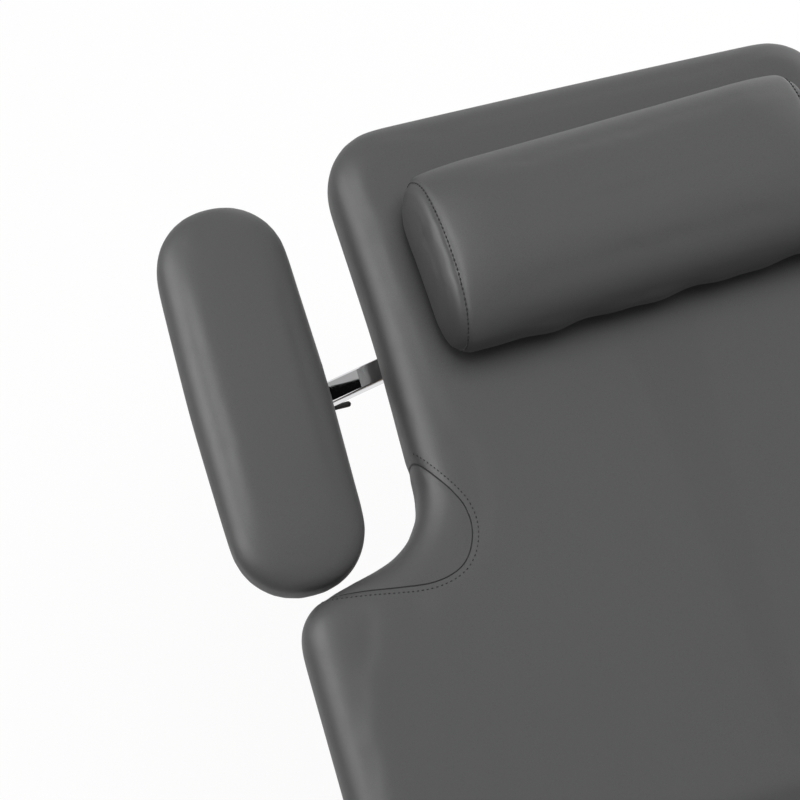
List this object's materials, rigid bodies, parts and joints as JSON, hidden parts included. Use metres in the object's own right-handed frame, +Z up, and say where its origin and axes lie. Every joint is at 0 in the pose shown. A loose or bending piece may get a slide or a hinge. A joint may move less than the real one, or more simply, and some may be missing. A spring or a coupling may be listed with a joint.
{
  "type": "electric massage table",
  "caption": "Padded treatment table with reclining back, dropping leg section, side armrests and bolster pillow on a telescopic electric lift column.",
  "frame": {"origin": "floor level, under the middle of the table's length and width", "axes": "+X towards the head end, +Y to the right of a person lying on their back, +Z up"},
  "size_m": [1.9, 0.9074, 0.7483],
  "materials": {
    "upholstery": "satin",
    "plywood": "matt",
    "frame_paint": "satin",
    "bright_chrome": "polished",
    "steel": "satin",
    "tube_aluminium": "satin",
    "pale_paint": "satin",
    "pale_plastic": "satin",
    "black_plastic": "satin",
    "handset_plastic": "satin",
    "key_plastic": "satin",
    "switch_plastic": "gloss",
    "foot_rubber": "matt"
  },
  "bodies": {
    "base": {"base_frame": "frame_paint", "base_cover": "pale_plastic", "levelling_feet": "foot_rubber", "column_outer": "pale_paint", "column_glides_outer": "black_plastic", "lift_motor": "steel", "lift_tube_lower": "tube_aluminium", "mains_inlet": "black_plastic"},
    "column_stage": {"column_middle": "pale_paint", "column_glides_middle": "black_plastic", "lift_tube_middle": "tube_aluminium"},
    "seat": {"column_inner": "pale_paint", "lift_rod": "steel", "column_top_plate": "frame_paint", "top_plate_bolts": "steel", "chassis_rails": "frame_paint", "seat_frame": "frame_paint", "seat_hinge_cheeks": "frame_paint", "seat_panel": "plywood", "seat_cushion": "upholstery", "hinge_pins": "steel", "hinge_caps": "black_plastic", "knee_hinge_pins": "steel", "back_drive_housing": "black_plastic", "back_drive_tube": "tube_aluminium", "leg_drive_housing": "black_plastic", "leg_drive_tube": "tube_aluminium", "drive_rear_pins": "steel", "control_box": "black_plastic", "handset_holder": "black_plastic"},
    "backrest": {"backrest_frame": "frame_paint", "backrest_lever": "frame_paint", "backrest_hinge_cheeks": "frame_paint", "backrest_panel": "plywood", "backrest_cushion": "upholstery", "armrest_collars": "black_plastic"},
    "legrest": {"legrest_frame": "frame_paint", "legrest_lever": "frame_paint", "legrest_panel": "plywood", "legrest_cushion": "upholstery"},
    "back_rod": {"back_drive_rod": "steel", "back_drive_roller": "steel"},
    "leg_rod": {"leg_drive_rod": "steel", "leg_drive_roller": "steel"},
    "pillow": {"pillow": "upholstery"},
    "handset": {"handset": "handset_plastic"},
    "switch": {"mains_switch": "switch_plastic"},
    "back_key": {"key_back": "key_plastic"},
    "leg_key": {"key_leg": "key_plastic"},
    "height_key": {"key_height": "key_plastic"},
    "arm_bar_right": {"armrest_bar_right": "bright_chrome"},
    "armrest_right": {"armrest_cradle_right": "frame_paint", "armrest_board_right": "plywood", "armrest_pad_right": "upholstery"},
    "latch_right": {"armrest_latch_right": "black_plastic"},
    "arm_bar_left": {"armrest_bar_left": "bright_chrome"},
    "armrest_left": {"armrest_cradle_left": "frame_paint", "armrest_board_left": "plywood", "armrest_pad_left": "upholstery"},
    "latch_left": {"armrest_latch_left": "black_plastic"}
  },
  "joints": [
    {"name": "lift", "type": "slide", "parent": "base", "child": "seat", "axis": [0, 0, 1], "range_m": [0, 0.28]},
    {"name": "column_follow", "type": "slide", "parent": "base", "child": "column_stage", "axis": [0, 0, 1], "range_m": [0, 0.141]},
    {"name": "backrest_tilt", "type": "hinge", "parent": "seat", "child": "backrest", "pos_m": [0.17, 0, 0.62], "axis": [0, -1, 0], "range_deg": [0, 65]},
    {"name": "back_rod_slide", "type": "slide", "parent": "seat", "child": "back_rod", "axis": [1, 0, 0], "range_m": [0, 0.199]},
    {"name": "legrest_tilt", "type": "hinge", "parent": "seat", "child": "legrest", "pos_m": [-0.29, 0, 0.518], "axis": [0, -1, 0], "range_deg": [0, 45]},
    {"name": "leg_rod_slide", "type": "slide", "parent": "seat", "child": "leg_rod", "axis": [1, 0, 0], "range_m": [0, 0.0449]},
    {"name": "pillow_slide", "type": "slide", "parent": "backrest", "child": "pillow", "axis": [1, 0, 0], "range_m": [-0.04, 0.04]},
    {"name": "handset_pull", "type": "slide", "parent": "seat", "child": "handset", "axis": [0, -1, 0], "range_m": [0, 0.04]},
    {"name": "switch_rock", "type": "hinge", "parent": "base", "child": "switch", "pos_m": [-0.59643, 0.013, 0.056], "axis": [0, 1, 0], "range_deg": [-8, 8]},
    {"name": "key_back_rock", "type": "hinge", "parent": "handset", "child": "back_key", "pos_m": [-0.09, -0.3889, 0.5003], "axis": [1, 0, 0], "range_deg": [-5, 5], "stiffness_Nm_per_rad": 0.3},
    {"name": "key_leg_rock", "type": "hinge", "parent": "handset", "child": "leg_key", "pos_m": [-0.09, -0.3889, 0.4763], "axis": [1, 0, 0], "range_deg": [-5, 5], "stiffness_Nm_per_rad": 0.3},
    {"name": "key_height_rock", "type": "hinge", "parent": "handset", "child": "height_key", "pos_m": [-0.09, -0.3889, 0.4523], "axis": [1, 0, 0], "range_deg": [-5, 5], "stiffness_Nm_per_rad": 0.3},
    {"name": "arm_bar_right_slide", "type": "slide", "parent": "backrest", "child": "arm_bar_right", "axis": [-0.1994, 0.9799, 0], "range_m": [0, 0.06]},
    {"name": "armrest_right_tilt", "type": "hinge", "parent": "arm_bar_right", "child": "armrest_right", "pos_m": [0.71502, 0.3865, 0.52], "axis": [0, 1, 0], "range_deg": [0, 70]},
    {"name": "latch_right_swing", "type": "hinge", "parent": "arm_bar_right", "child": "latch_right", "pos_m": [0.71352, 0.3362, 0.498], "axis": [0, 0, -1], "range_deg": [0, 25], "stiffness_Nm_per_rad": 0.2},
    {"name": "arm_bar_left_slide", "type": "slide", "parent": "backrest", "child": "arm_bar_left", "axis": [-0.1994, -0.9799, 0], "range_m": [0, 0.06]},
    {"name": "armrest_left_tilt", "type": "hinge", "parent": "arm_bar_left", "child": "armrest_left", "pos_m": [0.71502, -0.3865, 0.52], "axis": [0, 1, 0], "range_deg": [0, 70]},
    {"name": "latch_left_swing", "type": "hinge", "parent": "arm_bar_left", "child": "latch_left", "pos_m": [0.71352, -0.3362, 0.498], "axis": [0, 0, 1], "range_deg": [0, 25], "stiffness_Nm_per_rad": 0.2}
  ],
  "couplings": [
    {"joint": "column_follow", "follows": "lift", "ratio": 0.5},
    {"joint": "back_rod_slide", "follows": "backrest_tilt", "m_per_rad": 0.17521},
    {"joint": "leg_rod_slide", "follows": "legrest_tilt", "m_per_rad": 0.056958}
  ]
}
